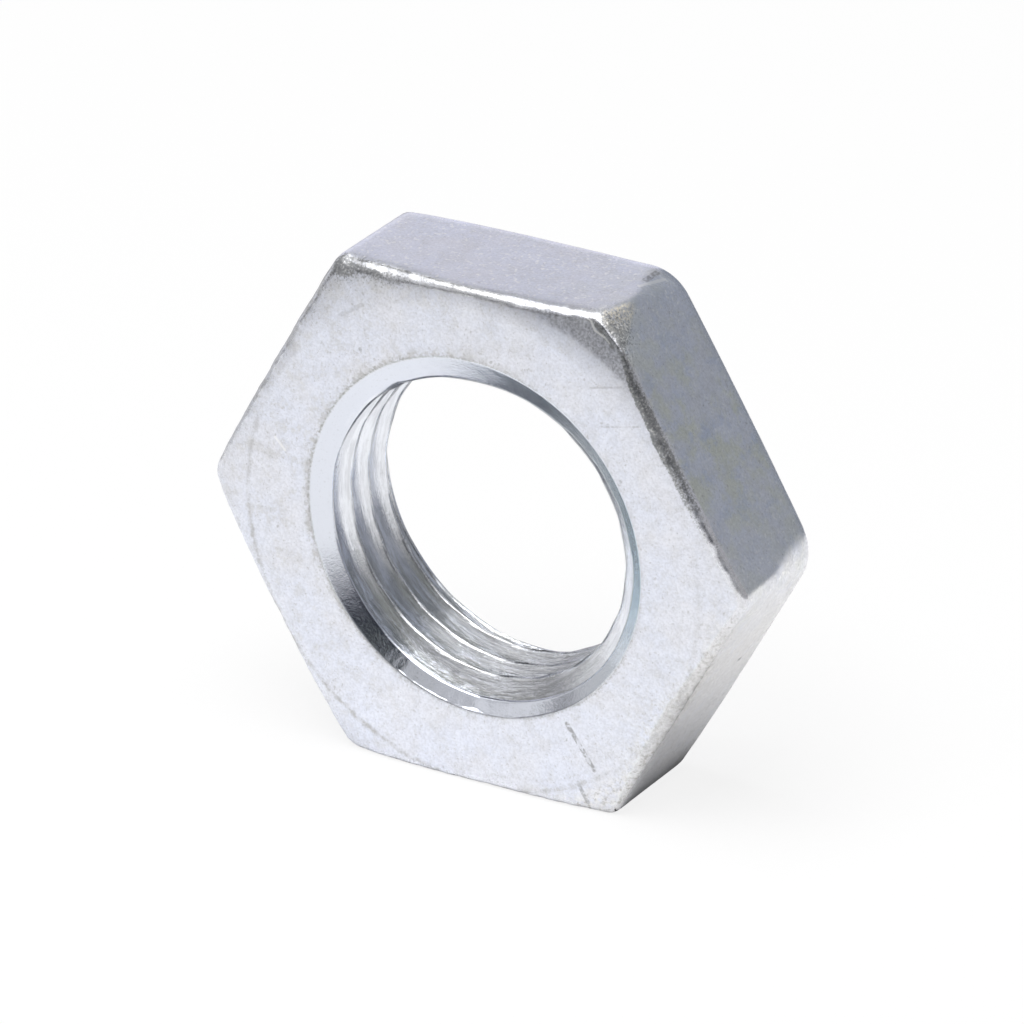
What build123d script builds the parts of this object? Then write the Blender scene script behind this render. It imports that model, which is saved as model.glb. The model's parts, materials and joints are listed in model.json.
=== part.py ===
from build123d import *

import os
from math import cos, radians, tan

# Pipe nut: a thin hexagon nut for a G 1/2 parallel pipe thread, in millimetres and degrees.
# It stands on one of its flats. The bore runs along Y, the front face looks along -Y, and the origin
# is the centre of the bore at mid-thickness.

# Hexagon
ACROSS_FLATS = 30.0
THICKNESS = 8.0
CORNER_ROUNDING = 1.4  # the hexagon's six corners aren't filled sharp

# Turned chamfer, the same on both faces
CHAMFER_CIRCLE = 0.967 * ACROSS_FLATS  # the flat ring of each face ends at this diameter
CHAMFER_ANGLE = 10.0  # slope of the chamfer, measured from the face
RIM_BEVEL = 0.3  # breaks the rim where the chamfer meets the flats

# Thread
THREAD_MAJOR_DIAMETER = 20.955
THREADS_PER_INCH = 14
FORM_HEIGHT = 0.640327  # depth of the 55 degree form, as a share of its pitch
COUNTERSINK_DIAMETER = 21.1
COUNTERSINK_ANGLE = 110.0  # full angle of the cone

# Sizes that follow from these
pitch = 25.4 / THREADS_PER_INCH
bore_radius = THREAD_MAJOR_DIAMETER / 2 - FORM_HEIGHT * pitch  # the crests of the thread
across_corners = ACROSS_FLATS / cos(radians(30))
face_y = THICKNESS / 2
chamfer_depth = (across_corners - CHAMFER_CIRCLE) / 2 * tan(radians(CHAMFER_ANGLE))

front_face = Plane(origin=(0, -face_y, 0), x_dir=(1, 0, 0), z_dir=(0, -1, 0))
back_face = Plane(origin=(0, face_y, 0), x_dir=(-1, 0, 0), z_dir=(0, 1, 0))

with BuildPart() as pipe_nut:
    # Hexagon bar, with two of its flats level
    with BuildSketch(Plane.XZ) as hexagon:
        RegularPolygon(ACROSS_FLATS / 2, side_count=6, major_radius=False)
        fillet(hexagon.vertices(), CORNER_ROUNDING)
    extrude(amount=face_y, both=True)

    # Both faces turned: what is left of the hexagon lies inside this round blank, so that each flat
    # ends in the arc of a chamfered nut
    with BuildSketch(Plane.XY):
        with BuildLine():
            Polyline(
                (0, -face_y),
                (CHAMFER_CIRCLE / 2, -face_y),
                (across_corners / 2, -face_y + chamfer_depth),
                (across_corners / 2, face_y - chamfer_depth),
                (CHAMFER_CIRCLE / 2, face_y),
                (0, face_y),
                close=True,
            )
        make_face()
    revolve(axis=Axis.Y, mode=Mode.INTERSECT)

    # Rims broken all the way round: the hyperbola arcs on the flats and the short curves on the corners
    rims = pipe_nut.edges().filter_by(GeomType.HYPERBOLA) + pipe_nut.edges().filter_by(GeomType.BSPLINE)
    chamfer(rims, RIM_BEVEL)

    # Bore, countersunk from both faces
    with Locations(front_face, back_face):
        CounterSinkHole(bore_radius, COUNTERSINK_DIAMETER / 2, THICKNESS, COUNTERSINK_ANGLE)

pipe_nut.part.label = "pipe_nut"
os.makedirs("parts", exist_ok=True)
export_step(pipe_nut.part, "parts/pipe_nut.step")
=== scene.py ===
import json
from math import cos, pi, radians, sin, tan

import bpy
import numpy as np
from mathutils import Matrix, Vector, noise


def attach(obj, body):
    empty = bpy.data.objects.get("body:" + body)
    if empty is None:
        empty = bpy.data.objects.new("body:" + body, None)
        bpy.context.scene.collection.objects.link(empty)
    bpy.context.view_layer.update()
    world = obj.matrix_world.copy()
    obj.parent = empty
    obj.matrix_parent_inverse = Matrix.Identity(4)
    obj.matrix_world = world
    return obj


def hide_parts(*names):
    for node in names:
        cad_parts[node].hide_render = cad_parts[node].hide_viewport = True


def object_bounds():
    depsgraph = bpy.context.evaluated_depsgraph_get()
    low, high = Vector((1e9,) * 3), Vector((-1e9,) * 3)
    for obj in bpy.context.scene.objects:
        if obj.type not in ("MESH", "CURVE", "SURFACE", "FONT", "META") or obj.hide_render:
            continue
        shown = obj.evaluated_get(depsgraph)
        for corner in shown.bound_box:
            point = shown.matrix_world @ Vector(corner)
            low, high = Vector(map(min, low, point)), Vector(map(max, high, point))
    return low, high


# Looks of the pipe nut: a worn zinc-plated hexagon nut with its real thread, on a white studio floor.
# The mesh is worked out in millimetres, in the frame of the CAD model: the bore runs along Y, the front
# face looks along -Y, Z is up. Angles round the bore count from +X towards +Z.

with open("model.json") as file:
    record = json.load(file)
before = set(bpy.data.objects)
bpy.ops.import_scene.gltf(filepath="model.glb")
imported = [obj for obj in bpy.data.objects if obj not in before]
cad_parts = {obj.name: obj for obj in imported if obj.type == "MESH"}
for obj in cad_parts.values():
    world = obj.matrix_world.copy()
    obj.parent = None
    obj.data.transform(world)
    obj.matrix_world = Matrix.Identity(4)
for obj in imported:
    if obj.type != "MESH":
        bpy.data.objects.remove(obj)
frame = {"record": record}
cad_low, cad_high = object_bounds()

MM = 0.001
PART = "pipe_nut"

# Main sizes, from the frame
thread_mount = next(m for m in frame["record"]["mounts"] if m["name"] == "thread")
CREST_RADIUS = thread_mount["dims"]["r_mm"]
ACROSS_FLATS = (cad_high.z - cad_low.z) / MM
THICKNESS = (cad_high.y - cad_low.y) / MM
FACE_Y = THICKNESS / 2
FLAT_RADIUS = ACROSS_FLATS / 2
FLOOR_Z = cad_low.z

# Hexagon. Each row of six values belongs to the six corners, from the one at +X on, upwards and round
FRONT_CORNER_ROUNDING = (0.9, 0.35, 0.9, 1.45, 1.1, 1.1)
BACK_CORNER_ROUNDING = (3.0, 2.7, 1.1, 1.45, 1.05, 1.0)
ROUNDING_CHANGE = (-1.5, 3.0)  # Y from which and to which the corners change from one to the other
FACET_NORMAL = (0.673, -0.198, 0.713)  # the upper right corner is squashed flat at the front
FACET_OFFSET = 16.657
FACET_SOFTNESS = 0.06

# Turned chamfer, steeper towards the corners
CHAMFER_RADIUS = 0.967 * FLAT_RADIUS
CHAMFER_CENTRE = (-0.09, -0.55)  # the front face was turned a little off centre, in X and Z
CHAMFER_BLEND = 0.25  # how softly the chamfer leaves the face
FRONT_SLOPE = 0.07
FRONT_CURVE = (0.036, 0.022, 0.014, 0.058, 0.057, 0.053)
CORNER_STEP = (0.11, 62, 18)  # added slope on the upper right corner
CORNER_STEP_START = 1.15  # outside the chamfer circle
CORNER_STEP_SOFTNESS = 0.1
BACK_SLOPE = 0.05
BACK_CURVE = (0.010, 0.002, 0.05, 0.018, 0.018, 0.08)

# Rims. Here and below, what changes round the nut is given by places: amount, angle and width in degrees
FRONT_RIM_ROUNDING = (0.40, 0.40, 0.32, 0.26, 0.28, 0.34)
RIM_CHANGES = [(0.16, 30, 20), (0.22, 324, 20), (-0.26, 56, 6), (0.28, 113, 11), (-0.16, 300, 9)]
BACK_RIM_ROUNDING = 0.25
RIM_BAND = 0.3  # of the thickness, counted as rim on each side
WEAR_WIDTH = 0.4  # the front rim is also rubbed down over a wider band
WEAR_DEPTH = 0.04
DEEPER_WEAR = [
    (0.10, 110, 9), (0.12, 127, 8), (0.14, 146, 14), (0.05, 170, 12), (0.09, 70, 12), (0.03, 20, 25),
    (0.12, 322, 22), (0.03, 215, 25),
]

# Thread: right-hand, 14 threads per inch, 55 degree form
PITCH = 25.4 / 14
FORM_HEIGHT = 0.960491 * PITCH  # of the sharp triangle
ROOT_RADIUS = CREST_RADIUS + 0.640327 * PITCH
CREST_PLACE = 1.24  # Y of a crest at angle 0
CREST_BURR = 0.30  # the crests stand a little proud
BORE_CENTRE = (-0.25, 0.03)
THREAD_SOFTNESS = 0.075
RUN_OUT = -3.3  # Y at which the grooves end, inside the front countersink
TOP_RUN_OUT = -2.6
RUN_OUT_LENGTH = 0.4
COUNTERSINK_RADIUS = 10.66
BACK_COUNTERSINK_RADIUS = 10.9
COUNTERSINK_SLOPE = tan(radians(55))
TOP_SLOPE = tan(radians(60))  # flatter at the top of the front one
COUNTERSINK_DEPTH = 0.86  # down to the first turn of the thread
COUNTERSINK_CENTRE = (0.11, 0.08)  # off centre on the front face
LIP_SLOPE = 0.75  # of the steeper lip, where the mouth was knocked
LIP_PLACES = [(0.075, 252, 20), (0.04, 281, 9)]
LIP_DENT = (0.16, 269, 3)
CONE_SOFTNESS = 0.03  # where a cone meets the thread, and what is added to it at the front
SOFTER_CONE = (0.12, 271, 30)
EDGE_BREAK = 0.045  # at the mouth of the countersink

# Grid of the mesh: steps round the bore, and rows along each part of the section
STEPS = 600
FACE_ROWS = 34
RIM_ROWS = 9
FLAT_ROWS = 16
BACK_RIM_ROWS = 6
BACK_FACE_ROWS = 11
BORE_ROWS = 78
MOUTH_ROWS = 12
MOUTH_DEPTH = 0.5
MOUTH_CROWDING = 1.3  # the rows stand closer towards the edge of the mouth
BISECTIONS = 32

theta = np.linspace(0, 2 * pi, STEPS, endpoint=False)


def soft_ramp(value, softness):
    """0 below zero, the value above, with a soft bend between."""
    return 0.5 * (value + np.sqrt(value**2 + softness**2))


def soft_max(a, b, softness):
    return b + soft_ramp(a - b, softness)


def soft_min(a, b, softness):
    return -soft_max(-a, -b, softness)


def rounded_corner(a, b, radius):
    """Joins two outsides, each a distance that is negative inside, with a rounding of that radius."""
    inner = np.minimum(np.maximum(a, b), -radius)
    return inner + np.hypot(np.maximum(a + radius, 0), np.maximum(b + radius, 0))


def smooth_step(value):
    value = np.clip(value, 0, 1)
    return value * value * (3 - 2 * value)


def by_corner(values):
    """A value for each step round the bore, blended from those of the six corners."""
    place = theta / (pi / 3)
    corner = np.floor(place).astype(int)
    blend = smooth_step(place - corner)
    values = np.array(values)
    return values[corner % 6] * (1 - blend) + values[(corner + 1) % 6] * blend


def lobe(centre, width):
    """1 at an angle round the bore, in degrees, and falling off on both sides of it."""
    away = (theta - radians(centre) + pi) % (2 * pi) - pi
    return np.exp(-((away / radians(width)) ** 2))


def lobes(places):
    """Sum of lobes, each given as its height, angle and width."""
    return sum(height * lobe(angle, width) for height, angle, width in places)


def wander(points, size, seed):
    """Smooth noise between about -1 and 1 at each point, with bumps of that size."""
    shift = Vector((seed * 17.3, seed * 5.9, seed * 11.1))
    return np.array([noise.noise(Vector(p) / size + shift) for p in points])


# What changes from step to step along the front rim
RING_RADIUS = 15
ring = np.stack([RING_RADIUS * np.cos(theta), 0 * theta, RING_RADIUS * np.sin(theta)], axis=-1)
edge_noise = wander(ring, 1.3, 3) + 0.7 * wander(ring, 0.5, 4)
front_rounding = by_corner(FRONT_CORNER_ROUNDING)
back_rounding = by_corner(BACK_CORNER_ROUNDING)
rim_radius = by_corner(FRONT_RIM_ROUNDING) + lobes(RIM_CHANGES)
rim_radius *= 1 + (0.15 + 0.15 * lobe(320, 24)) * edge_noise
front_curve, back_curve = by_corner(FRONT_CURVE), by_corner(BACK_CURVE)
wear_depth = (WEAR_DEPTH + lobes(DEEPER_WEAR)) * (1 + 0.45 * edge_noise)


def hexagon_gap(r, y):
    """How far outside the rounded hexagon a point lies, negative inside."""
    change = smooth_step((y - ROUNDING_CHANGE[0]) / (ROUNDING_CHANGE[1] - ROUNDING_CHANGE[0]))
    rounding = front_rounding + (back_rounding - front_rounding) * change
    side = np.round((theta - pi / 2) / (pi / 3))
    turn = theta - pi / 2 - side * pi / 3
    core = FLAT_RADIUS - rounding
    across = r * np.cos(turn) - core
    beyond = np.maximum(np.abs(r * np.sin(turn)) - core * tan(pi / 6), 0)
    return np.where(across > 0, np.hypot(across, beyond), across) - rounding


def facet_gap(r, y):
    """How far outside the squashed corner's plane a point lies, negative inside."""
    level = FACET_NORMAL[0] * np.cos(theta) + FACET_NORMAL[2] * np.sin(theta)
    return r * level + FACET_NORMAL[1] * y - FACET_OFFSET


def off_centre_radius(r, centre):
    return np.hypot(r * np.cos(theta) - centre[0], r * np.sin(theta) - centre[1])


def front_drop(r, y):
    """How far the front chamfer lies behind the face."""
    past = soft_ramp(off_centre_radius(r, CHAMFER_CENTRE) - CHAMFER_RADIUS, CHAMFER_BLEND)
    wear = wear_depth * np.exp(np.minimum(hexagon_gap(r, y), 0) / WEAR_WIDTH)
    step = lobes([CORNER_STEP]) * soft_ramp(past - CORNER_STEP_START, CORNER_STEP_SOFTNESS)
    return FRONT_SLOPE * past + front_curve * past**2 + step + wear


def back_drop(r):
    past = soft_ramp(r - CHAMFER_RADIUS, CHAMFER_BLEND)
    return BACK_SLOPE * past + back_curve * past**2


def outside_gap(r, y):
    """How far outside the nut's outer shape a point lies, negative inside."""
    front = -y - FACE_Y + front_drop(r, y)
    back = y - FACE_Y + back_drop(r)
    sides = soft_max(hexagon_gap(r, y), facet_gap(r, y), FACET_SOFTNESS)
    gap = rounded_corner(sides, front, rim_radius)
    return rounded_corner(gap, back, BACK_RIM_ROUNDING)


def along_rays(r, y, step_r, step_y, reach):
    """Where rays from inside the nut meet its surface."""
    low = np.zeros_like(r + y + step_r)
    high = low + reach
    for _ in range(BISECTIONS):
        middle = (low + high) / 2
        inside = outside_gap(r + step_r * middle, y + step_y * middle) < 0
        low = np.where(inside, middle, low)
        high = np.where(inside, high, middle)
    return r + step_r * low, y + step_y * low + 0 * r


def off_centre(centre):
    """What a circle off the centre adds to the radius, all round."""
    return centre[0] * np.cos(theta) + centre[1] * np.sin(theta)


mouth_front = COUNTERSINK_RADIUS + off_centre(COUNTERSINK_CENTRE)
mouth_back = np.full(STEPS, BACK_COUNTERSINK_RADIUS)
lip_depth = lobes(LIP_PLACES) * (1 + 0.9 * wander(ring, 0.6, 5)) + lobes([LIP_DENT])
front_slope = COUNTERSINK_SLOPE + (TOP_SLOPE - COUNTERSINK_SLOPE) * lobe(95, 34)
run_out = RUN_OUT + (TOP_RUN_OUT - RUN_OUT) * lobe(85, 60)


def countersunk(y, radius, face, cone_slope=COUNTERSINK_SLOPE, lip=0.0):
    """Radius of a countersink at y. A lip along its mouth is steeper, and the rest makes up for it."""
    depth = np.abs(y - face)
    slope = (cone_slope * COUNTERSINK_DEPTH - LIP_SLOPE * lip) / (COUNTERSINK_DEPTH - lip)
    return radius - LIP_SLOPE * np.minimum(depth, lip) - slope * np.maximum(depth - lip, 0)


def thread_turns(y):
    """Turns along the thread: whole at a crest, at the same share all along the helix."""
    return (y - CREST_PLACE) / PITCH + theta / (2 * pi)


def thread_radius(y):
    turns = thread_turns(y)
    from_crest = np.abs(turns - np.round(turns)) * PITCH
    from_root = PITCH / 2 - from_crest
    flank = ROOT_RADIUS + FORM_HEIGHT / 6 - from_root * 2 * FORM_HEIGHT / PITCH
    crest = CREST_RADIUS - CREST_BURR
    root = ROOT_RADIUS - (ROOT_RADIUS - crest) * smooth_step((run_out - y) / RUN_OUT_LENGTH)
    return soft_min(soft_max(flank, crest, THREAD_SOFTNESS), root, THREAD_SOFTNESS) + off_centre(BORE_CENTRE)


def bore_radius(y):
    """Radius of the threaded bore and its countersinks at y, all round."""
    front_cone = countersunk(y, mouth_front, -FACE_Y, front_slope, lip_depth)
    back_cone = countersunk(y, mouth_back, FACE_Y)
    radius = soft_max(thread_radius(y), front_cone, CONE_SOFTNESS + lobes([SOFTER_CONE]))
    return soft_max(radius, back_cone, CONE_SOFTNESS)


def shares(count, ends=False):
    """Even shares from 0 to 1, as a column, without the last one unless asked."""
    return np.linspace(0, 1, count, endpoint=ends)[:, None]


def build_section():
    """Rows of (radius, y), all round, from the front countersink outwards and back through the bore."""
    front_flat, _ = along_rays(np.zeros(STEPS), -FACE_Y + 1, 1.0, 0.0, ACROSS_FLATS)
    back_flat, _ = along_rays(np.zeros(STEPS), FACE_Y - 1, 1.0, 0.0, ACROSS_FLATS)
    rim_r = front_flat - rim_radius - 0.05
    rim_y = -FACE_Y + front_drop(rim_r, -FACE_Y) + rim_radius
    back_rim_r = back_flat - BACK_RIM_ROUNDING
    back_rim_y = FACE_Y - back_drop(back_rim_r) - BACK_RIM_ROUNDING
    rows = []

    inner = mouth_front + EDGE_BREAK
    face_r = inner + (rim_r - inner) * shares(FACE_ROWS)
    rows.append(along_rays(face_r, 0.0, 0.0, -1.0, THICKNESS))

    turn = shares(RIM_ROWS) * pi / 2
    rows.append(along_rays(rim_r + 0 * turn, rim_y, np.sin(turn), -np.cos(turn), 3.0))

    flat_y = rim_y + (back_rim_y - rim_y) * shares(FLAT_ROWS)
    rows.append(along_rays(0 * flat_y, flat_y, 1.0, 0.0, ACROSS_FLATS))

    turn = shares(BACK_RIM_ROWS) * pi / 2
    rows.append(along_rays(back_rim_r + 0 * turn, back_rim_y, np.cos(turn), np.sin(turn), 3.0))

    inner = mouth_back + EDGE_BREAK
    back_r = back_rim_r + (inner - back_rim_r) * shares(BACK_FACE_ROWS, ends=True)
    rows.append(along_rays(back_r, 0.0, 0.0, 1.0, THICKNESS))

    bore_y = (FACE_Y - EDGE_BREAK) + (MOUTH_DEPTH - THICKNESS + EDGE_BREAK) * shares(BORE_ROWS) + 0 * theta
    rows.append((bore_radius(bore_y), bore_y))

    crowded = (1 - shares(MOUTH_ROWS, ends=True)) ** MOUTH_CROWDING
    bore_y = EDGE_BREAK + (MOUTH_DEPTH - EDGE_BREAK) * crowded - FACE_Y + 0 * theta
    rows.append((bore_radius(bore_y), bore_y))
    return np.concatenate([r for r, _ in rows]), np.concatenate([y for _, y in rows])


def near(value, centre, width):
    """1 where the value is at the centre, and falling off on both sides of it."""
    return np.exp(-(((value - centre) / width) ** 2))


def rim_distance(y):
    """How far along a flat a point lies from the nearer face."""
    return np.maximum(FACE_Y - np.abs(y) - RIM_BAND, 0)


# Zones of the mesh, from the front face outwards and back through the bore, and how dented each one is
FACE, RIM, FLAT, BORE = range(4)
DENT_SHARES = (0.5, 1.0, 0.35, 0.5)

# Depths of the dents of each kind, and the sizes of two noises that several of them share, in millimetres
BROAD_DENTS = 0.008
SMALL_DENTS = 0.004
RIM_DENTS = 0.018
TORN_RIM = 0.008
SANDY_TORN = 0.008
SANDY_MOTTLE = 0.006
THREAD_STREAKS = 0.005
TORN_CREST = 0.02
TORN_MOUTH = 0.018
OUTSIDE_WEAR = 0.008  # all over, so that bumps stay inside the solid
MOTTLE_SIZE = 0.5
TORN_SIZE = 0.22

# Shallow nicks: place, size and depth in millimetres
NICKS = [
    ((14.1, -3.9, 6.3), 0.35, 0.12), ((14.5, -3.9, 5.4), 0.25, 0.08), ((12.2, -3.9, 9.6), 0.3, 0.07),
    ((13.4, 1.9, -6.8), 0.22, 0.04), ((8.4, -3.9, 14.4), 0.3, 0.08), ((-8.6, -3.9, 14.9), 0.5, 0.10),
    ((-3.2, -3.9, 15.0), 0.3, 0.05), ((3.4, -3.9, 15.0), 0.35, 0.05), ((16.4, -3.7, -0.6), 0.4, 0.08),
    ((-7.9, -3.95, 15.0), 0.6, 0.16),
]

# Single places, in millimetres, and lines of painted shade along the front rim, where its turn shows dark:
# share of the way round its rounding, width of the line, and its amount, angle and width in degrees
KNOCKED_CORNER = (-8.3, -3.9, 14.7)
BRASS_PLACE = (8.3, -1.9, 14.9)
PAINTED_SHADE_LINES = [(0.92, 0.07, (1.0, 110, 10)), (0.86, 0.08, (0.5, 92, 14)), (0.95, 0.4, (0.9, 58, 5))]


def rim_bands(inside_edge, width, places):
    """Bands that fade inwards from the front rim over that width, strong at the places."""
    return np.exp(-inside_edge / width) * lobes(places)


class Surface:
    """The grid of the mesh, and what its wear and its plating depend on."""

    def __init__(self):
        self.r, self.y = r, y = build_section()
        self.points = np.stack([r * np.cos(theta), y, r * np.sin(theta)], axis=-1)
        along = np.roll(self.points, -1, 0) - np.roll(self.points, 1, 0)
        around = np.roll(self.points, -1, 1) - np.roll(self.points, 1, 1)
        normals = np.cross(along, around)
        self.normals = normals / np.linalg.norm(normals, axis=-1, keepdims=True)

        zone = np.repeat([FACE, RIM, FLAT, RIM, FACE, BORE], [
            FACE_ROWS, RIM_ROWS, FLAT_ROWS, BACK_RIM_ROWS, BACK_FACE_ROWS, BORE_ROWS + MOUTH_ROWS,
        ])
        self.zone = np.repeat(zone[:, None], STEPS, 1)
        self.rim_share = (np.arange(len(zone))[:, None] - FACE_ROWS) / RIM_ROWS
        self.bore = self.zone == BORE
        self.front = y < 0
        self.front_face = self.front * (self.zone < FLAT)
        self.inside_edge = -hexagon_gap(r, y)
        self.past_circle = off_centre_radius(r, CHAMFER_CENTRE) - CHAMFER_RADIUS
        self.past_mouth = r - mouth_front
        self.mottle = self.wander(MOTTLE_SIZE, 9)
        self.torn = self.wander(TORN_SIZE, 7)
        self.find_sandy_places()
        self.find_turned_places()

    def wander(self, size, seed):
        return wander(self.points.reshape(-1, 3), size, seed).reshape(self.r.shape)

    def find_sandy_places(self):
        """Where the plating is sandy: the squashed corner, the chamfer beside it and the right rim."""
        self.facet = smooth_step((facet_gap(self.r, self.y) + 0.09) / 0.06) * ~self.bore
        self.corner = self.front_face * smooth_step(1.6 * lobe(62, 20))
        ragged_edge = (self.past_circle - CORNER_STEP_START + 0.1 + 0.3 * self.mottle) / 0.25
        sides = (self.zone == RIM) | (self.zone == FLAT)
        rim = self.front * near(rim_distance(self.y), 0, 0.2) * sides
        rim = rim + (self.zone == FACE) * np.exp(-self.inside_edge / 0.2)
        self.right_rim = rim * self.front * lobe(40, 23)
        patch = self.corner * smooth_step(ragged_edge)
        self.sandy = np.clip(0.6 * self.facet + 0.75 * patch + 0.4 * self.right_rim, 0, 1)

    def find_turned_places(self):
        """The cone, and the grooves and crests of the thread. Their marks run round the bore."""
        r, y = self.r, self.y
        phase = 2 * pi * thread_turns(y)
        along_helix = np.abs((theta / pi + 0.7) % 2 - 1)
        self.sweep = np.stack([0.5 * np.cos(phase), 0.5 * np.sin(phase), 3 * along_helix + 0.2 * y], axis=-1)
        self.streaks = wander(self.sweep.reshape(-1, 3), 0.3, 6).reshape(r.shape)
        self.cone = self.bore * smooth_step((r - thread_radius(y)) / 0.06)
        thread = self.bore * (1 - self.cone)
        crest = CREST_RADIUS - CREST_BURR
        groove = np.clip((r - off_centre(BORE_CENTRE) - crest) / (ROOT_RADIUS - crest), 0, 1) * thread
        self.groove = groove * (0.35 + 0.65 * lobe(245, 50))
        self.crest = thread * near(self.groove, 0, 0.2) * (0.4 + 0.6 * lobe(245, 50))

    def worn_points(self):
        """The points, moved along their normals by dents, torn edges and nicks, inside the solid's box."""
        low_side = 0.2 + lobe(258, 30)
        mouth_edge = self.bore * near(self.y, -FACE_Y, 0.12)
        mouth_edge = mouth_edge + (self.zone == FACE) * self.front * near(self.past_mouth, 0, 0.12)
        cone_end = self.bore * self.front * near(self.r - thread_radius(self.y), 0.08, 0.10)

        dents = BROAD_DENTS * self.wander(2.2, 1) + SMALL_DENTS * self.wander(0.7, 2)
        dents *= np.array(DENT_SHARES)[self.zone]
        dents += (self.zone == RIM) * self.front * (RIM_DENTS * self.wander(0.45, 8) + TORN_RIM * self.torn)
        dents += self.sandy * (SANDY_TORN * self.torn + SANDY_MOTTLE * self.mottle)
        dents += self.bore * THREAD_STREAKS * self.streaks * (self.y > -3)
        dents -= self.crest * np.maximum(self.torn + 0.05, 0) * TORN_CREST * low_side
        dents += (0.4 * mouth_edge + cone_end) * self.torn * TORN_MOUTH * low_side
        for place, size, depth in NICKS:
            away = np.linalg.norm(self.points - np.array(place), axis=-1)
            dents -= depth * near(away, 0, size) * (1 + 0.8 * self.torn)
        dents -= OUTSIDE_WEAR * ~self.bore
        points = self.points + self.normals * dents[..., None]
        points[..., 0] = np.clip(points[..., 0], cad_low.x / MM, cad_high.x / MM)
        points[..., 1] = np.clip(points[..., 1], -FACE_Y, FACE_Y)
        points[..., 2] = np.clip(points[..., 2], -FLAT_RADIUS, FLAT_RADIUS)
        return points

    def stain(self):
        """Beside the countersink, outside the chamfer circle and along the rims."""
        stain = near(self.past_mouth, 0.15, 0.28) * (0.25 + lobes([(1.0, 170, 70), (0.6, 115, 40)]))
        stain += smooth_step(self.past_circle / 1.2) * 0.3 * lobe(120, 28)
        stain += np.exp(-self.inside_edge / 0.45) * (0.3 + 0.7 * lobe(138, 30))
        stain += rim_bands(self.inside_edge, 1.0, [(0.8, 322, 26)])
        stain *= self.front_face
        stain += (self.zone == FLAT) * 0.5 * np.exp(-rim_distance(self.y) / 0.35)
        return np.clip(stain, 0, 1.2)

    def scuff(self, points):
        """Dark places: bands that fade inwards from the rim, painted shade in thin lines along the top rim
        and in a band on the right rim, and the knocked top left corner.
        """
        scuff = rim_bands(self.inside_edge, 0.5, [(1.7, 113, 8), (0.5, 128, 8), (0.2, 150, 14)])
        scuff *= smooth_step((self.inside_edge - 0.17) / 0.15)
        scuff += rim_bands(self.inside_edge, 0.25, [(0.7, 92, 14), (0.2, 170, 12), (0.6, 252, 14)])
        scuff *= self.front_face
        # painted shade: the dark band of the right rim, where it turns
        scuff += self.right_rim
        scuff += 1.2 * near(np.linalg.norm(points - np.array(KNOCKED_CORNER), axis=-1), 0, 0.8)
        # painted shade: thin dark lines where the rim turns, along the top and at the upper right corner
        for share, width, place in PAINTED_SHADE_LINES:
            scuff += near(self.rim_share, share, width) * lobes([place])
        return np.clip(scuff, 0, 1)

    def chalk(self):
        """Chalky places, most of them at the lower right."""
        chalk = rim_bands(self.inside_edge, 1.1, [(1.2, 322, 20), (0.35, 290, 14)])
        chalk += smooth_step(self.past_circle / 0.9) * lobes([(0.8, 300, 14), (0.5, 345, 14)])
        chalk += near(self.inside_edge, 1.1, 0.6) * 0.5 * lobe(104, 16)
        chalk *= self.front_face
        chalk += (self.zone == FLAT) * np.exp(-rim_distance(self.y) / 0.9) * 0.9 * lobe(330, 22)
        return np.clip(chalk, 0, 1)

    def attributes(self, points):
        """What the material reads at each point."""
        zone, bore, cone, face = self.zone, self.bore, self.cone, self.front_face
        front_rim = (zone == RIM) * self.front
        sides = (zone == RIM) | (zone == FLAT)
        teal = np.clip(lobes([(0.45, 50, 32), (1.15, 4, 28)]), 0, 1)
        from_brass = np.linalg.norm(points - np.array(BRASS_PLACE), axis=-1)
        crease = 0.15 + lobes([(0.9, 190, 30), (1.1, 234, 24), (0.9, 285, 32), (0.6, 340, 20)])
        mouth_stain = 0.3 + lobes([(0.9, 170, 70), (0.5, 115, 40), (0.3, 235, 20), (0.6, 318, 32)])
        pale = lobes([(1, 338, 24), (0.5, 305, 12)])
        return {
            "bore": bore, "rim": zone == RIM, "flat": zone == FLAT, "sandy": self.sandy, "cone": cone,
            "groove": self.groove, "crest": self.crest, "corner": self.corner,
            "stain": self.stain(), "scuff": self.scuff(points), "chalk": self.chalk(),
            "brass": near(from_brass, 0, 1.0) * self.facet,
            "right": (zone == FLAT) * lobe(30, 28),
            "teal": bore * (self.y < -2.9) * teal,
            # painted reflection: the dark that the lower left of the cone reflects
            "navy": cone * lobe(226, 14),
            "low": bore * lobe(262, 48),
            "worn": lobe(170, 70) * face,
            "crease": crease * face,
            "mouth_stain": mouth_stain * face,
            "polish": front_rim * lobe(88, 30),
            "grey_rim": front_rim * np.clip(lobes([(1, 326, 26), (1, 56, 8)]), 0, 1),
            "pale": sides * smooth_step((self.inside_edge + 0.6) / 0.5) * pale,
        }


def build_nut():
    surface = Surface()
    points = surface.worn_points()
    rows = len(points)
    index = np.arange(rows * STEPS).reshape(rows, STEPS)
    next_row, next_step = np.roll(index, -1, 0), np.roll(index, -1, 1)
    quads = np.stack([index, next_step, np.roll(next_row, -1, 1), next_row], axis=-1).reshape(-1, 4)
    mesh = bpy.data.meshes.new("nut")
    mesh.from_pydata((points.reshape(-1, 3) * MM).tolist(), [], quads.tolist())
    mesh.polygons.foreach_set("use_smooth", np.ones(len(mesh.polygons), bool))
    for name, value in surface.attributes(points).items():
        attribute = mesh.attributes.new(name, "FLOAT", "POINT")
        attribute.data.foreach_set("value", value.astype(np.float32).ravel())
    attribute = mesh.attributes.new("sweep", "FLOAT_VECTOR", "POINT")
    attribute.data.foreach_set("vector", surface.sweep.astype(np.float32).ravel())
    mesh.update()
    nut = bpy.data.objects.new("zinc_plated_nut", mesh)
    bpy.context.scene.collection.objects.link(nut)
    return nut


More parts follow.
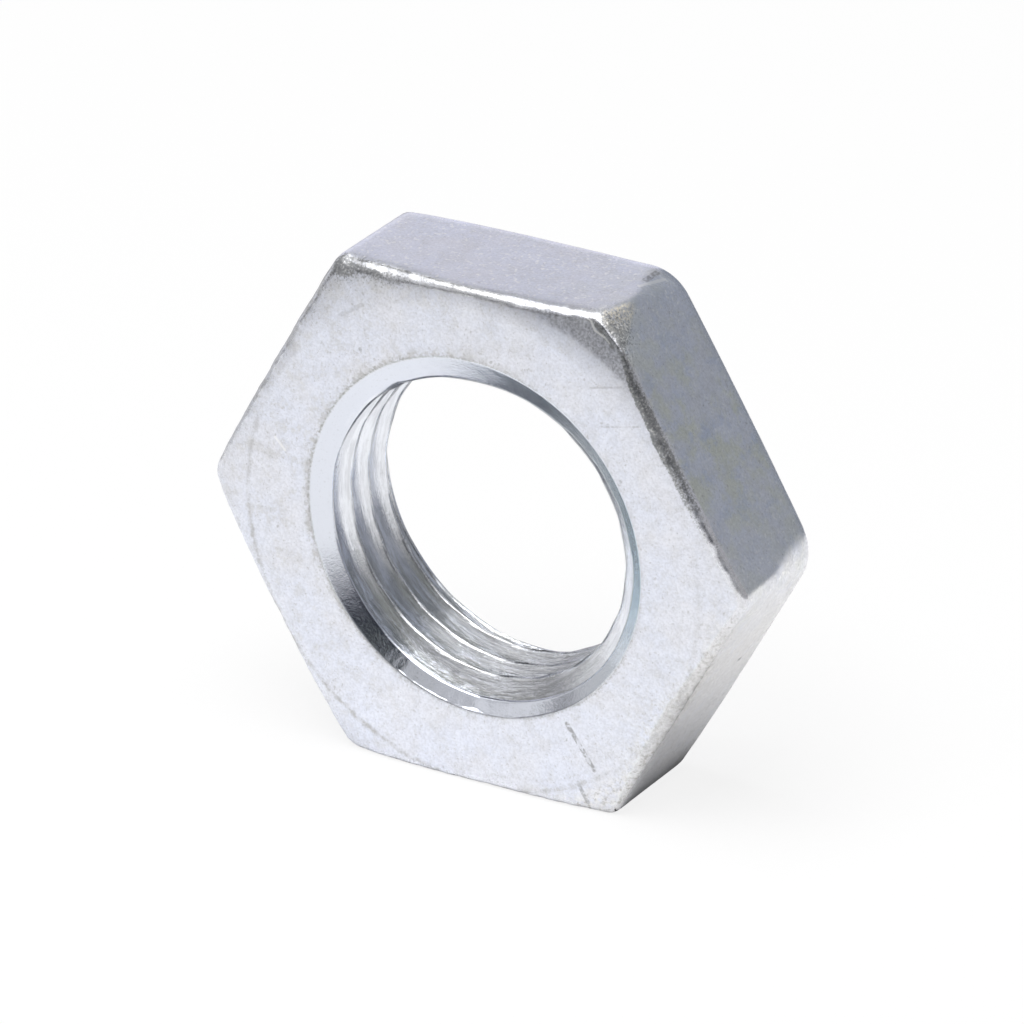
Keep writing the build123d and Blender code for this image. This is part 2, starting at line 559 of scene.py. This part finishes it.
class Shade:
    """Short words for the nodes of one material or world."""

    def __init__(self, tree):
        self.tree = tree

    def put(self, socket, value):
        if isinstance(value, bpy.types.NodeSocket):
            self.tree.links.new(value, socket)
        else:
            socket.default_value = value

    def math(self, operation, *values):
        node = self.tree.nodes.new("ShaderNodeMath")
        node.operation = operation
        for socket, value in zip(node.inputs, values):
            self.put(socket, value)
        return node.outputs[0]

    def vector(self, operation, *values):
        node = self.tree.nodes.new("ShaderNodeVectorMath")
        node.operation = operation
        for socket, value in zip(node.inputs, values):
            self.put(socket, value)
        return node.outputs["Value" if operation in ("LENGTH", "DOT_PRODUCT", "DISTANCE") else "Vector"]

    def scaled(self, vector, factor):
        node = self.tree.nodes.new("ShaderNodeVectorMath")
        node.operation = "SCALE"
        self.put(node.inputs[0], vector)
        self.put(node.inputs["Scale"], factor)
        return node.outputs["Vector"]

    def times(self, a, b):
        return self.math("MULTIPLY", a, b)

    def plus(self, a, b):
        return self.math("ADD", a, b)

    def attribute(self, name, output="Fac"):
        node = self.tree.nodes.new("ShaderNodeAttribute")
        node.attribute_name = name
        return node.outputs[output]

    def noise(self, place, scale, detail=2.0, roughness=0.5, shift=0.0):
        node = self.tree.nodes.new("ShaderNodeTexNoise")
        node.inputs["Scale"].default_value = scale
        node.inputs["Detail"].default_value = detail
        node.inputs["Roughness"].default_value = roughness
        moved = self.vector("ADD", place, (shift, 0.7 * shift, -shift))
        self.tree.links.new(moved, node.inputs["Vector"])
        return node.outputs["Fac"]

    def from_circle(self, place, centre, radius):
        """Distance outwards from a circle round the bore's direction."""
        out = self.vector("SUBTRACT", self.vector("MULTIPLY", place, (1, 0, 1)), (centre[0], 0, centre[1]))
        return self.math("SUBTRACT", self.vector("LENGTH", out), radius)

    def ramp(self, value, low, high, start=0.0, end=1.0):
        node = self.tree.nodes.new("ShaderNodeMapRange")
        node.interpolation_type = "SMOOTHSTEP"
        for socket, given in zip(node.inputs, (value, low, high, start, end)):
            self.put(socket, given)
        return node.outputs["Result"]

    def blend(self, share, a, b):
        """From colour a to colour b."""
        node = self.tree.nodes.new("ShaderNodeMix")
        node.data_type = "RGBA"
        self.put(node.inputs["Factor"], share)
        for socket, value in zip([s for s in node.inputs if s.type == "RGBA"], (a, b)):
            self.put(socket, value if isinstance(value, bpy.types.NodeSocket) else (*value, 1))
        return next(s for s in node.outputs if s.type == "RGBA")

    def shader(self, kind, colour, strength=None):
        """A shader of one colour."""
        node = self.tree.nodes.new(kind)
        node.inputs["Color"].default_value = (*colour, 1)
        if strength is not None:
            node.inputs["Strength"].default_value = strength
        return node.outputs[0]

    def mix_shaders(self, share, a, b):
        node = self.tree.nodes.new("ShaderNodeMixShader")
        for socket, given in zip(node.inputs, (share, a, b)):
            self.tree.links.new(given, socket)
        return node.outputs[0]

    def line(self, place, squash, start, end, width, soft=0.5):
        """1 on a straight mark from start to end, 0 away from it, as measured in squashed space."""
        place = self.vector("MULTIPLY", place, squash)
        start, end = Vector(start) * Vector(squash), Vector(end) * Vector(squash)
        reach = end - start
        out = self.vector("SUBTRACT", place, tuple(start))
        share = self.math("DIVIDE", self.vector("DOT_PRODUCT", out, tuple(reach)), reach.length_squared)
        share = self.math("MINIMUM", self.math("MAXIMUM", share, 0.0), 1.0)
        away = self.vector("DISTANCE", out, self.scaled(tuple(reach), share))
        return self.ramp(away, width * soft, width, 1.0, 0.0)


# Marks on the front face: start, end, width in millimetres, and strength
FACE_SQUASH = (1.0, 0.1, 1.0)  # their distance behind the face counts less
DARK_MARKS = [
    ((5.91, -4, -9.84), (7.59, -4, -12.24), 0.19, 0.85), ((6.55, -4, -13.31), (7.04, -4, -14.42), 0.17, 0.7),
    ((7.77, -4, 10.89), (9.66, -4, 11.32), 0.08, 0.35), ((8.36, -4, 8.71), (10.88, -4, 9.28), 0.08, 0.4),
    ((-8.17, -4, 11.68), (-6.72, -4, 12.60), 0.16, 0.25), ((-7.09, -4, 15.08), (-6.67, -4, 14.22), 0.14, 0.5),
    ((-6.93, -4, 9.91), (-6.90, -4, 9.85), 0.14, 0.6), ((9.57, -4, 5.70), (9.50, -4, 5.55), 0.16, 0.5),
    ((7.50, -4, 14.80), (8.10, -4, 14.30), 0.16, 0.9), ((8.10, -4, 14.30), (9.00, -4, 13.40), 0.14, 0.9),
]
# Bright marks: all but the first are a painted highlight on the burred edge of the squashed corner
BRIGHT_MARKS_AND_HIGHLIGHTS = [
    ((-12.69, -4, 3.29), (-12.05, -4, 2.64), 0.10, 0.5), ((7.19, -4, 14.80), (7.61, -4, 14.60), 0.09, 1.0),
    ((7.61, -4, 14.60), (7.90, -4, 14.15), 0.10, 1.0), ((7.90, -4, 14.15), (8.48, -4, 13.88), 0.09, 1.0),
    ((8.48, -4, 13.88), (8.80, -4, 13.60), 0.08, 0.7),
]

# A dark spot on the lower right flat
SPOT_SQUASH = (1.0, 1.0, 1.0)
SPOT = ((13.63, 1.50, -6.40), (13.60, 1.72, -6.46), 0.17, 0.9)

# Marks on the top corner, near the back. The bright one is a painted highlight along the corner's edge
CORNER_SQUASH = (1.0, 1.0, 0.5)
DARK_CORNER_MARK = ((7.78, 1.94, 14.95), (7.77, 3.11, 14.88), 0.24, 0.8)
CORNER_EDGE_HIGHLIGHT = ((7.94, 1.0, 14.97), (8.33, 2.93, 14.72), 0.14, 0.8)

DARK_GROUPS = [(FACE_SQUASH, DARK_MARKS), (CORNER_SQUASH, [DARK_CORNER_MARK]), (SPOT_SQUASH, [SPOT])]
BRIGHT_MARK_AND_HIGHLIGHT_GROUPS = [(FACE_SQUASH, BRIGHT_MARKS_AND_HIGHLIGHTS), (CORNER_SQUASH, [CORNER_EDGE_HIGHLIGHT])]

# Colours of the plating
BLUISH_PLATE = (0.79, 0.815, 0.90)
WARMER_PLATE = (0.80, 0.81, 0.865)
PALE_PLATE = (0.88, 0.87, 0.875)
SQUASHED_PLATE = (0.78, 0.77, 0.76)
POLISHED_PLATE = (0.79, 0.795, 0.805)
DULL_PLATE = (0.64, 0.64, 0.65)
GREY_RIM = (0.60, 0.60, 0.61)
GREENISH = (0.78, 0.79, 0.70)
BLUISH = (0.64, 0.69, 0.83)
BRASS = (0.95, 0.84, 0.62)
WHITE = (1.0, 1.0, 1.0)

# Colours of the bore
DRAWN_METAL = (0.80, 0.82, 0.88)
DRAWN_BELOW = (0.73, 0.74, 0.75)
DRAWN_BRIGHT = (0.91, 0.93, 0.98)
THREAD_ROOT_SHADE = (0.56, 0.57, 0.565)
THREAD_CREST_SHADE = (0.53, 0.535, 0.54)
CONE_METAL = (0.735, 0.76, 0.825)
CONE_PAINTED_REFLECTION = (0.34, 0.37, 0.46)
CONE_TEAL = (0.42, 0.53, 0.59)

# Colours of the wear and the dirt
SMUDGE = (0.62, 0.615, 0.61)
BETWEEN_SMUDGES = (0.86, 0.88, 0.95)
HAIRLINE = (0.55, 0.55, 0.55)
STAIN_DOT = (0.42, 0.41, 0.40)
STAIN_FILM = (0.56, 0.555, 0.54)
MOUTH_RING = (0.42, 0.42, 0.42)
CREASE = (0.53, 0.53, 0.54)
CORNER_PATCH = (0.53, 0.54, 0.59)
SCUFF_AND_SHADE = (0.25, 0.255, 0.26)
SCUFF_FLECK = (0.90, 0.89, 0.88)
CHALK = (0.87, 0.86, 0.84)
CHALK_DIRT = (0.44, 0.43, 0.41)
DARK_MARK = (0.33, 0.33, 0.34)

# Roughness, and what each share of the mesh adds to it
ROUGHNESS = 0.36
ADDED_ROUGHNESS = (("bore", -0.20), ("rim", -0.12), ("scuff", 0.14), ("crest", 0.15))


class Plate(Shade):
    """The zinc plating. Each step takes the colour so far and gives back the next one. Places are in
    millimetres, and a noise is given by its scale, detail, roughness and shift."""

    def __init__(self, tree):
        super().__init__(tree)
        self.shares = {}
        texture = tree.nodes.new("ShaderNodeTexCoord")
        self.place = self.scaled(texture.outputs["Object"], 1 / MM)
        self.plain = self.math("SUBTRACT", 1.0, self.share("bore"))
        self.blotches = self.noise(self.place, 1.3, 5.0, 0.62, 11.0)
        self.fine = self.noise(self.place, 6.5, 3.0, 0.6, 23.0)
        self.specks = self.noise(self.place, 5.0, 2.0, 0.5, 37.0)
        self.sand = self.noise(self.place, 6.5, 3.0, 0.65, 61.0)
        self.grit = self.noise(self.place, 8.0, 3.0, 0.7, 101.0)
        self.streaks = self.noise(self.attribute("sweep", "Vector"), 5.0, 4.0, 0.68, 71.0)
        ragged = self.noise(self.place, 2.6, 5.0, 0.70, 83.0)
        self.ragged = self.times(self.math("SUBTRACT", ragged, 0.5), 0.6)

    def share(self, name):
        """What the mesh gives under that name, from 0 to about 1."""
        if name not in self.shares:
            self.shares[name] = self.attribute(name)
        return self.shares[name]

    def gritty(self, share, low, high):
        """The share, times the low value in the dips of the grit and the high one on its tops."""
        return self.times(share, self.ramp(self.grit, 0.36, 0.60, low, high))

    def past_circle(self, centre, radius, raggedness):
        """Distance outwards from a circle with a ragged edge."""
        return self.plus(self.from_circle(self.place, centre, radius), self.times(self.ragged, raggedness))

    def plating(self):
        """A faint lavender-blue with warmer clouds, and paler, sandy, polished and dull places."""
        clouds = self.noise(self.place, 0.30, 3.0, 0.55)
        colour = self.blend(self.ramp(clouds, 0.36, 0.68), BLUISH_PLATE, WARMER_PLATE)
        colour = self.blend(self.share("pale"), colour, PALE_PLATE)
        facet = self.math("SUBTRACT", self.vector("DOT_PRODUCT", self.place, FACET_NORMAL), FACET_OFFSET)
        facet = self.times(self.ramp(facet, -0.10, -0.05), self.plain)
        colour = self.blend(self.gritty(facet, 0.9, 0.5), colour, SQUASHED_PLATE)
        colour = self.blend(self.gritty(self.share("polish"), 0.9, 0.6), colour, POLISHED_PLATE)
        amount = self.plus(0.14, self.times(self.share("stain"), 0.5))
        dull = self.times(self.times(self.ramp(self.blotches, 0.46, 0.70), amount), self.plain)
        return self.blend(dull, colour, DULL_PLATE)

    def add_smudges(self, colour):
        """Smudges and hairlines, more of them on the left."""
        smudges = self.noise(self.place, 0.8, 7.0, 0.74, 13.0)
        amount = self.times(self.plus(0.20, self.times(self.share("worn"), 0.26)), self.plain)
        colour = self.blend(self.times(self.ramp(smudges, 0.50, 0.62), amount), colour, SMUDGE)
        between = self.times(self.ramp(smudges, 0.48, 0.38), self.times(self.plain, 0.35))
        colour = self.blend(between, colour, BETWEEN_SMUDGES)
        veins = self.noise(self.place, 0.42, 4.0, 0.62, 19.0)
        veins = self.math("ABSOLUTE", self.math("SUBTRACT", veins, 0.5))
        hair = self.ramp(veins, 0.003, 0.011, 1.0, 0.0)
        hair = self.times(hair, self.ramp(self.blotches, 0.45, 0.60, 0.0, 0.30))
        return self.blend(self.times(hair, self.plain), colour, HAIRLINE)

    def add_tints(self, colour):
        """Green and blue clouds on the upper right flat."""
        green = self.ramp(self.noise(self.place, 0.45, 5.0, 0.62, 5.0), 0.42, 0.62)
        colour = self.blend(self.times(self.times(self.share("right"), green), 0.95), colour, GREENISH)
        blue = self.ramp(self.noise(self.place, 0.6, 5.0, 0.65, 9.0), 0.50, 0.68)
        return self.blend(self.times(self.times(self.share("right"), blue), 0.75), colour, BLUISH)

    def add_bore(self, colour):
        """Drawn streaks along the thread, painted shade in its roots and on its crests, and the cone of the
        countersink with a painted dark reflection on its lower left.
        """
        drawn = self.blend(self.share("low"), DRAWN_METAL, DRAWN_BELOW)
        thread = self.blend(self.ramp(self.streaks, 0.36, 0.62), drawn, DRAWN_BRIGHT)
        # painted shade: the roots of the thread darker, where shade falls in the grooves
        root = self.times(self.ramp(self.share("groove"), 0.25, 0.65), self.ramp(self.streaks, 0.65, 0.40))
        thread = self.blend(root, thread, THREAD_ROOT_SHADE)
        # painted shade: the crests darker, which dims their highlight
        crest = self.times(self.share("crest"), self.ramp(self.streaks, 0.60, 0.42, 0.35, 0.9))
        thread = self.blend(crest, thread, THREAD_CREST_SHADE)
        colour = self.blend(self.share("bore"), colour, thread)
        colour = self.blend(self.share("cone"), colour, CONE_METAL)
        # painted reflection: the dark of the camera side, as the lower left of the cone reflects it
        colour = self.blend(self.gritty(self.share("navy"), 0.75, 0.45), colour, CONE_PAINTED_REFLECTION)
        return self.blend(self.times(self.share("teal"), 0.85), colour, CONE_TEAL)

    def add_stain(self, colour):
        """Grey places on the rim, and small beige and grey specks, dense where the stain is."""
        colour = self.blend(self.gritty(self.share("grey_rim"), 0.9, 0.6), colour, GREY_RIM)
        stain = self.share("stain")
        dots = self.ramp(self.plus(self.specks, self.times(stain, 0.15)), 0.63, 0.76)
        colour = self.blend(self.times(self.times(dots, 0.42), self.plain), colour, STAIN_DOT)
        film = self.times(self.times(stain, self.ramp(self.blotches, 0.32, 0.6)), 0.34)
        return self.blend(film, colour, STAIN_FILM)

    def add_rings(self, colour):
        """The ring beside the countersink, the line of the chamfer circle and the grey corner outside it."""
        past = self.past_circle(COUNTERSINK_CENTRE, COUNTERSINK_RADIUS, 1.0)
        band = self.times(self.ramp(past, -0.26, -0.05), self.ramp(past, 0.06, 0.22, 1.0, 0.0))
        mottle = self.ramp(self.plus(self.grit, self.times(self.ragged, 0.8)), 0.44, 0.56, 0.15, 1.0)
        band = self.times(self.times(band, self.share("mouth_stain")), mottle)
        colour = self.blend(self.times(band, 0.75), colour, MOUTH_RING)

        past = self.past_circle(CHAMFER_CENTRE, CHAMFER_RADIUS, 0.8)
        band = self.ramp(self.math("ABSOLUTE", past), 0.0, 0.26, 1.0, 0.0)
        mottle = self.ramp(self.plus(self.blotches, self.times(self.grit, 0.4)), 0.56, 0.82, 0.2, 1.0)
        band = self.times(self.times(band, self.share("crease")), mottle)
        colour = self.blend(self.times(band, 0.8), colour, CREASE)

        past = self.past_circle(CHAMFER_CENTRE, CHAMFER_RADIUS + CORNER_STEP_START, 2.2)
        band = self.times(self.ramp(past, -0.10, 0.10), self.share("corner"))
        band = self.times(band, self.ramp(self.grit, 0.40, 0.58, 1.0, 0.35))
        return self.blend(self.times(band, 0.8), colour, CORNER_PATCH)

    def add_scuffs_shade_and_chalk(self, colour):
        """Dark places at the rim, partly scuffs and partly painted shade, with bright flecks, and chalky
        places with dirt in them.
        """
        scuff, chalk, rim = self.share("scuff"), self.share("chalk"), self.share("rim")
        dark = self.ramp(self.plus(self.times(scuff, 0.40), self.grit), 0.60, 0.84)
        # darker where scuffed, and painted shade on the right rim's band and on the lines along the top rim
        colour = self.blend(self.times(dark, 0.9), colour, SCUFF_AND_SHADE)
        flecks = self.times(self.ramp(self.noise(self.place, 7.0, 3.0, 0.65, 113.0), 0.54, 0.62), scuff)
        colour = self.blend(self.times(flecks, 0.5), colour, SCUFF_FLECK)
        powder = self.times(chalk, self.ramp(self.noise(self.place, 1.9, 4.0, 0.7, 91.0), 0.40, 0.58))
        powder = self.times(powder, self.math("SUBTRACT", 0.6, self.times(rim, 0.4)))
        colour = self.blend(powder, colour, CHALK)
        dirt = self.times(chalk, self.ramp(self.noise(self.place, 3.1, 5.0, 0.72, 97.0), 0.51, 0.62))
        dirt = self.times(dirt, self.plus(0.6, self.times(rim, 0.3)))
        return self.blend(dirt, colour, CHALK_DIRT)

    def add_grain(self, colour):
        """Bright crystals here and there, a brass tint on the squashed corner, and fine and sandy grain."""
        crystals = self.ramp(self.noise(self.place, 4.2, 3.0, 0.55, 51.0), 0.57, 0.67)
        amount = self.times(self.share("flat"), self.ramp(self.share("right"), 0.2, 0.8, 0.7, 0.25))
        crystals = self.times(self.times(crystals, self.plain), self.plus(0.10, amount))
        colour = self.blend(crystals, colour, WHITE)
        brass = self.times(self.share("brass"), self.ramp(self.sand, 0.40, 0.62))
        colour = self.blend(self.times(brass, 0.75), colour, BRASS)
        grain = self.plus(1.0, self.times(self.ramp(self.fine, 0.32, 0.68, -0.08, 0.05), self.plain))
        sandy = self.times(self.share("sandy"), self.ramp(self.sand, 0.38, 0.60, -0.36, 0.10))
        return self.scaled(colour, self.times(grain, self.plus(1.0, sandy)))

    def add_marks(self, colour):
        """Dark scratches and spots, and a dark line along the burred edge of the squashed corner, broken up
        by the specks, and then the bright ones: a bright mark on the left, and painted highlights on that
        burred edge and along the top right corner.
        """
        for squash, marks in DARK_GROUPS:
            for start, end, width, strength in marks:
                mark = self.line(self.place, squash, start, end, width)
                mark = self.times(mark, self.ramp(self.specks, 0.35, 0.58, 0.1, strength))
                colour = self.blend(mark, colour, DARK_MARK)
        # a bright mark, and painted highlights on the edges
        for squash, marks in BRIGHT_MARK_AND_HIGHLIGHT_GROUPS:
            for start, end, width, strength in marks:
                mark = self.line(self.place, squash, start, end, width)
                colour = self.blend(self.times(mark, strength), colour, WHITE)
        return colour

    def roughness(self):
        rough = ROUGHNESS
        for name, added in ADDED_ROUGHNESS:
            rough = self.plus(rough, self.times(self.share(name), added))
        return self.plus(rough, self.ramp(self.blotches, 0.3, 0.7, -0.04, 0.04))

    def relief(self):
        """Height: fine everywhere, coarse on the sandy places, and drawn round the bore inside it."""
        bore, cone, low = self.share("bore"), self.share("cone"), self.share("low")
        height = self.times(self.fine, self.plus(0.004, self.times(self.share("flat"), 0.002)))
        height = self.plus(height, self.times(self.sand, self.times(self.share("sandy"), 0.007)))
        height = self.plus(height, self.times(self.fine, self.times(cone, 0.005)))
        drawn = self.times(self.plus(0.008, self.times(low, 0.034)), self.math("SUBTRACT", bore, cone))
        height = self.plus(height, self.times(self.streaks, drawn))
        height = self.plus(height, self.times(self.grit, self.times(self.share("scuff"), 0.012)))
        return self.plus(height, self.times(self.blotches, 0.010))


def zinc_plate():
    material = bpy.data.materials.new("zinc_plate")
    material.use_nodes = True
    tree = material.node_tree
    shader = tree.nodes["Principled BSDF"]
    shader.inputs["Metallic"].default_value = 1.0

    plate = Plate(tree)
    colour = plate.plating()
    for add in (
        plate.add_smudges, plate.add_tints, plate.add_bore, plate.add_stain,
        plate.add_rings, plate.add_scuffs_shade_and_chalk, plate.add_grain, plate.add_marks,
    ):
        colour = add(colour)
    tree.links.new(colour, shader.inputs["Base Color"])
    tree.links.new(plate.roughness(), shader.inputs["Roughness"])

    bump = tree.nodes.new("ShaderNodeBump")
    bump.inputs["Strength"].default_value = 1.0
    bump.inputs["Distance"].default_value = MM
    tree.links.new(plate.relief(), bump.inputs["Height"])
    tree.links.new(bump.outputs["Normal"], shader.inputs["Normal"])
    return material


# Cards round the nut, in metres: name, from and to which angle, low and high edge, distance, and colour.
# Angles count from +X towards +Y. The camera stands at -58 degrees, and the front face looks to -90
NEAR = 0.15
CURTAINS = [
    ("left", 158, 200, FLOOR_Z, 0.12, NEAR, (0.68, 0.68, 0.69)),
    ("left_near", 138, 212, FLOOR_Z, 0.004, 0.07, (0.62, 0.62, 0.62)),
    ("front_left", -160, -112, FLOOR_Z, 0.040, NEAR, (0.29, 0.29, 0.30)),
    ("front_left_middle", -160, -112, 0.040, 0.085, NEAR, (0.85, 0.85, 0.86)),
    ("front_left_high", -160, -100, 0.045, 0.070, 0.09, (0.57, 0.57, 0.59)),
    ("front_patch", -116, -96, FLOOR_Z, 0.036, 0.10, (0.27, 0.27, 0.285)),
    ("front_low", -112, -75, FLOOR_Z, 0.014, NEAR, (0.40, 0.40, 0.40)),
    ("front", -112, -75, 0.014, 0.060, NEAR, (0.23, 0.24, 0.22)),
    ("front_high", -112, -90, 0.060, 0.13, NEAR, (0.56, 0.56, 0.56)),
    ("camera_side_high", -87, -75, 0.060, 0.12, NEAR, (0.020, 0.025, 0.036)),
    ("camera_side", -75, -35, 0.036, 0.12, NEAR, (0.020, 0.025, 0.036)),
    ("camera_side_low", -75, -35, 0.024, 0.036, NEAR, (0.07, 0.07, 0.09)),
    ("camera_side_foot", -75, -35, FLOOR_Z + 0.014, 0.024, NEAR, (0.45, 0.45, 0.46)),
    ("front_right", -35, 25, FLOOR_Z, 0.20, NEAR, (0.42, 0.42, 0.43)),
    ("right", 25, 104, FLOOR_Z, 0.26, NEAR, (0.295, 0.315, 0.35)),
    # back_low: a painted shadow, a dark strip low behind the nut that darkens what the lower flats reflect of
    # the floor
    ("back_low", 68, 158, FLOOR_Z, 0.006, NEAR - 0.01, (0.12, 0.12, 0.12)),
    ("back", 104, 158, FLOOR_Z, 0.105, NEAR, (0.87, 0.865, 0.95)),
    ("back_high", 104, 170, 0.105, 0.20, NEAR, (0.06, 0.06, 0.06)),
]
# Painted shadow: dark strips under the lower right flat, for the floor's shadow as the flat reflects it
UNDER_FLAT = (0.06, 0.16, 0.30, 0.45, 0.6)  # brightness of each strip, outwards
UNDER_FLAT_START = 0.0086
UNDER_FLAT_STEP = 0.0005
UNDER_FLAT_LEAN = 3.3

# Soft light above the nut, a little in front of it, and what the white room adds
LAMP_PLACE = (-0.03, -0.16, 0.64)
LAMP_SIZE = 0.55
LAMP_ENERGY = 4.75
ROOM_LIGHT = 0.28
FLOOR_SIZE = 20.0
FLOOR_WHITE = (0.9, 0.9, 0.9)
FLOOR_GLOW = 0.07  # so that the floor is nearly white, and more of it as the camera sees it
FLOOR_GLOW_SEEN = 0.77

# Camera: angles in degrees, lens in millimetres, places in metres
CAMERA_AZIMUTH = 32.13
CAMERA_ELEVATION = 25.54
CAMERA_ROLL = -1.23
CAMERA_DISTANCE = 0.55
CAMERA_ASIDE = 0.00011
CAMERA_LENS = 351.6


def emitter(name, colour):
    material = bpy.data.materials.new(name)
    material.use_nodes = True
    tree = material.node_tree
    tree.nodes.clear()
    out = tree.nodes.new("ShaderNodeOutputMaterial")
    tree.links.new(Shade(tree).shader("ShaderNodeEmission", colour), out.inputs["Surface"])
    return material


def add_sheet(name, points, faces, material):
    """A sheet of the stage."""
    mesh = bpy.data.meshes.new(name)
    mesh.from_pydata(points, [], faces)
    mesh.materials.append(material)
    sheet = bpy.data.objects.new(name, mesh)
    bpy.context.scene.collection.objects.link(sheet)
    return sheet


def seen_only_in_gloss(sheet):
    sheet.visible_camera = False
    sheet.visible_diffuse = False
    sheet.visible_shadow = False
    sheet.visible_transmission = False


def curtain(name, start, end, low, high, distance, colour, steps=24):
    """A strip of a standing curtain, from one compass angle to another, seen only in the metal's gloss."""
    points, quads = [], []
    for i in range(steps + 1):
        angle = radians(start + (end - start) * i / steps)
        for z in (low, high):
            points.append((distance * cos(angle), distance * sin(angle), z))
        if i:
            quads.append((2 * i - 2, 2 * i, 2 * i + 1, 2 * i - 1))
    seen_only_in_gloss(add_sheet(name, points, quads, emitter(name, colour)))


def build_under_flat():
    """Strips lying under the lower right flat, a painted shadow: they stand in for the floor's shadow under
    it, as the flat reflects it. They lean back as they go out, like the reflections of the two faces. Seen
    only in the metal's gloss."""
    z = FLOOR_Z + 0.02 * MM
    half = FACE_Y * MM
    for i, level in enumerate(UNDER_FLAT):
        inner, outer = i * UNDER_FLAT_STEP, (i + 1) * UNDER_FLAT_STEP
        corners = [
            (UNDER_FLAT_START + out, UNDER_FLAT_LEAN * out + side, z)
            for out, side in ((inner, -half), (outer, -half), (outer, half), (inner, half))
        ]
        material = emitter("under_flat", (level, level, level))
        seen_only_in_gloss(add_sheet(f"under_flat_{i}", corners, [(0, 1, 2, 3)], material))


def build_floor():
    material = bpy.data.materials.new("floor")
    material.use_nodes = True
    tree = material.node_tree
    tree.nodes.clear()
    s = Shade(tree)
    path = tree.nodes.new("ShaderNodeLightPath")
    share = s.math("MULTIPLY_ADD", path.outputs["Is Camera Ray"], FLOOR_GLOW_SEEN, FLOOR_GLOW)
    diffuse, glow = s.shader("ShaderNodeBsdfDiffuse", FLOOR_WHITE), s.shader("ShaderNodeEmission", WHITE)
    out = tree.nodes.new("ShaderNodeOutputMaterial")
    tree.links.new(s.mix_shaders(share, diffuse, glow), out.inputs["Surface"])
    corners = [(x * FLOOR_SIZE, y * FLOOR_SIZE, FLOOR_Z) for x, y in ((-1, -1), (1, -1), (1, 1), (-1, 1))]
    add_sheet("floor", corners, [(0, 1, 2, 3)], material)


def build_world():
    """A white room, which lights what isn't glossy less than it shows itself."""
    world = bpy.data.worlds.new("studio")
    bpy.context.scene.world = world
    world.use_nodes = True
    tree = world.node_tree
    tree.nodes.clear()
    s = Shade(tree)
    path = tree.nodes.new("ShaderNodeLightPath")
    seen = s.math("MAXIMUM", path.outputs["Is Camera Ray"], path.outputs["Is Glossy Ray"])
    seen = s.math("MAXIMUM", seen, path.outputs["Is Transmission Ray"])
    lit = s.shader("ShaderNodeBackground", WHITE, ROOM_LIGHT)
    white = s.shader("ShaderNodeBackground", WHITE, 1.0)
    out = tree.nodes.new("ShaderNodeOutputWorld")
    tree.links.new(s.mix_shaders(seen, lit, white), out.inputs["Surface"])


def build_lamp():
    lamp = bpy.data.lights.new("overhead", "AREA")
    lamp.shape = "SQUARE"
    lamp.size = LAMP_SIZE
    lamp.energy = LAMP_ENERGY
    piece = bpy.data.objects.new("overhead", lamp)
    piece.location = LAMP_PLACE
    piece.rotation_mode = "QUATERNION"
    piece.rotation_quaternion = (-Vector(LAMP_PLACE)).to_track_quat("-Z", "Y")
    piece.visible_camera = False
    bpy.context.scene.collection.objects.link(piece)


def build_camera():
    """Looks at the nut from the front right and above."""
    azimuth, elevation, roll = radians(CAMERA_AZIMUTH), radians(CAMERA_ELEVATION), radians(CAMERA_ROLL)
    back = Vector((sin(azimuth) * cos(elevation), -cos(azimuth) * cos(elevation), sin(elevation)))
    level = Vector((cos(azimuth), sin(azimuth), 0))
    upright = back.cross(level)
    right = cos(roll) * level + sin(roll) * upright
    up = cos(roll) * upright - sin(roll) * level
    lens = bpy.data.cameras.new("camera")
    lens.lens = CAMERA_LENS
    lens.clip_end = 100.0
    camera = bpy.data.objects.new("camera", lens)
    turn = Matrix((right, up, back)).transposed()
    camera.matrix_world = Matrix.Translation(back * CAMERA_DISTANCE + right * CAMERA_ASIDE) @ turn.to_4x4()
    bpy.context.scene.collection.objects.link(camera)
    bpy.context.scene.camera = camera


nut = build_nut()
nut.data.materials.append(zinc_plate())
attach(nut, "root")
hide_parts(PART)

build_floor()
build_world()
build_camera()
for card in CURTAINS:
    curtain(*card)
build_under_flat()
build_lamp()

scene = bpy.context.scene
scene.view_settings.view_transform = "Standard"
